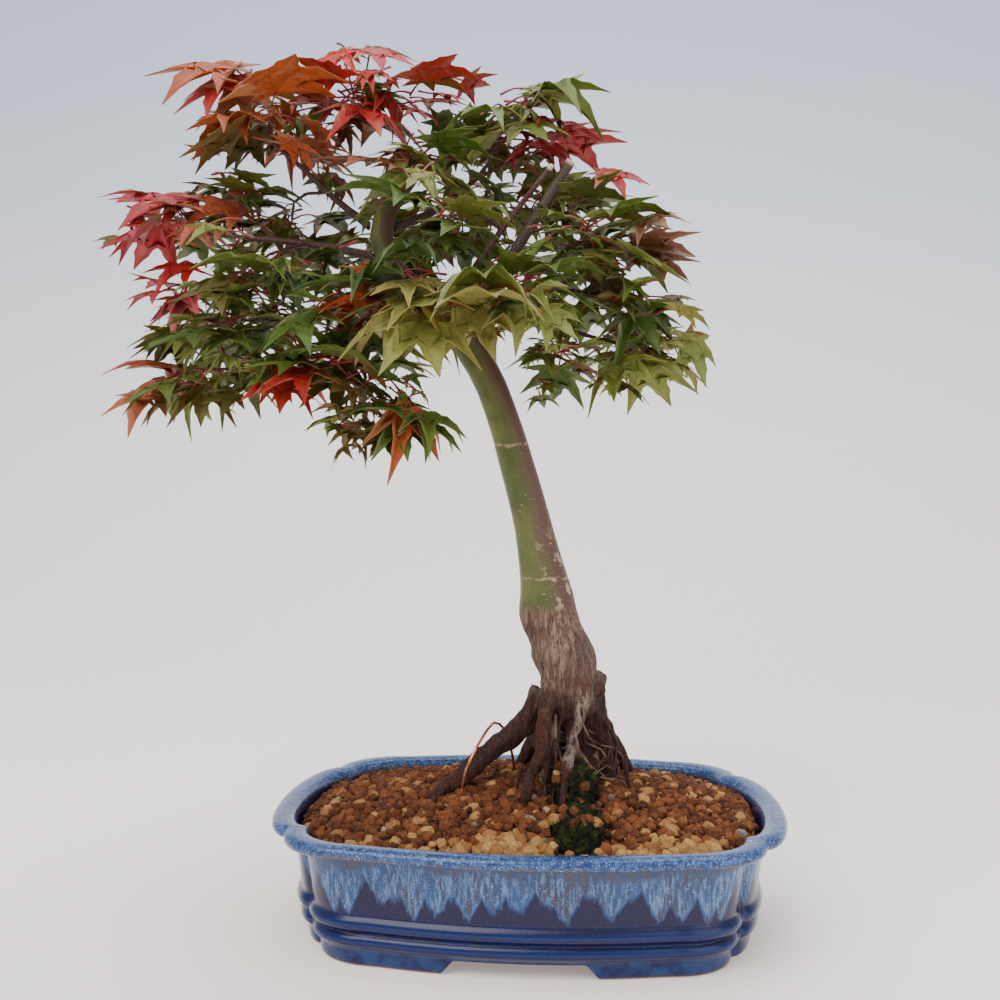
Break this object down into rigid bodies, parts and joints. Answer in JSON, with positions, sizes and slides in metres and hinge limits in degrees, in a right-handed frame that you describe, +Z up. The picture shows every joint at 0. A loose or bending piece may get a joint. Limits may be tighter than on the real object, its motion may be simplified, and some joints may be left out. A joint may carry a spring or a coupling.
{
  "type": "bonsai tree in a pot",
  "caption": "Maple bonsai with exposed roots, a slanting trunk and a domed crown of lobed leaves, planted in granular soil in a low lobed pot on short feet.",
  "frame": {"origin": "on the surface that the pot stands on, below the middle of the whole object's bounding box, which the crown's lean to the left puts to the left of the pot's own middle", "axes": "+X to the right along the pot's length, -Y to the front, +Z up the tree"},
  "size_m": [0.3326, 0.2292, 0.4056],
  "materials": {
    "glazed_stoneware": "opaque blue running glaze over brown stoneware, glossy",
    "screen_plastic": "black moulded mesh",
    "clip_wire": "bent wire",
    "bonsai_soil": "red-brown clay granules, damp and matt",
    "moss": "dark moss, matt and soft",
    "trunk_bark": "smooth olive bark, corky and tan lower down",
    "copper_wire": "copper-coloured soft wire, satin",
    "twig_bark": "smooth dark red young bark",
    "leaf_green": "thin green leaf, satin",
    "leaf_yellow_green": "thin yellow-green leaf, satin",
    "leaf_orange": "thin orange leaf, satin",
    "leaf_red": "thin red leaf, satin"
  },
  "bodies": {
    "root": {"pot": "glazed_stoneware", "drain_screen_left": "screen_plastic", "screen_clip_left": "clip_wire", "drain_screen_right": "screen_plastic", "screen_clip_right": "clip_wire", "soil": "bonsai_soil", "moss_clump": "moss", "trunk_and_roots": "trunk_bark", "tie_wire": "copper_wire", "soil_pin": "copper_wire", "branch_left_low": "twig_bark", "branch_left_middle": "twig_bark", "branch_left_upper": "twig_bark", "branch_top": "twig_bark", "branch_top_right": "twig_bark", "branch_right_upper": "twig_bark", "branch_right_middle": "twig_bark", "branch_right_low": "twig_bark", "branch_front": "twig_bark", "branch_back": "twig_bark", "leaves_left_low_1": "leaf_orange", "leaves_left_low_2": "leaf_yellow_green", "leaves_left_low_3": "leaf_yellow_green", "leaves_left_low_4": "leaf_yellow_green", "leaves_left_middle_1": "leaf_orange", "leaves_left_middle_2": "leaf_orange", "leaves_left_middle_3": "leaf_orange", "leaves_left_middle_4": "leaf_orange", "leaves_left_upper_1": "leaf_red", "leaves_left_upper_2": "leaf_red", "leaves_left_upper_3": "leaf_orange", "leaves_left_upper_4": "leaf_red", "leaves_top_1": "leaf_red", "leaves_top_2": "leaf_red", "leaves_top_3": "leaf_red", "leaves_top_4": "leaf_orange", "leaves_top_5": "leaf_orange", "leaves_top_6": "leaf_yellow_green", "leaves_top_right_1": "leaf_orange", "leaves_top_right_2": "leaf_red", "leaves_top_right_3": "leaf_orange", "leaves_right_upper_1": "leaf_orange", "leaves_right_upper_2": "leaf_orange", "leaves_right_upper_3": "leaf_yellow_green", "leaves_right_middle_1": "leaf_orange", "leaves_right_middle_2": "leaf_orange", "leaves_right_middle_3": "leaf_yellow_green", "leaves_right_middle_4": "leaf_orange", "leaves_right_low_1": "leaf_orange", "leaves_right_low_2": "leaf_yellow_green", "leaves_front_1": "leaf_yellow_green", "leaves_front_2": "leaf_yellow_green", "leaves_front_3": "leaf_yellow_green", "leaves_front_4": "leaf_green", "leaves_front_5": "leaf_green", "leaves_back_1": "leaf_yellow_green", "leaves_back_2": "leaf_yellow_green", "leaves_back_3": "leaf_orange"}
  },
  "joints": []
}
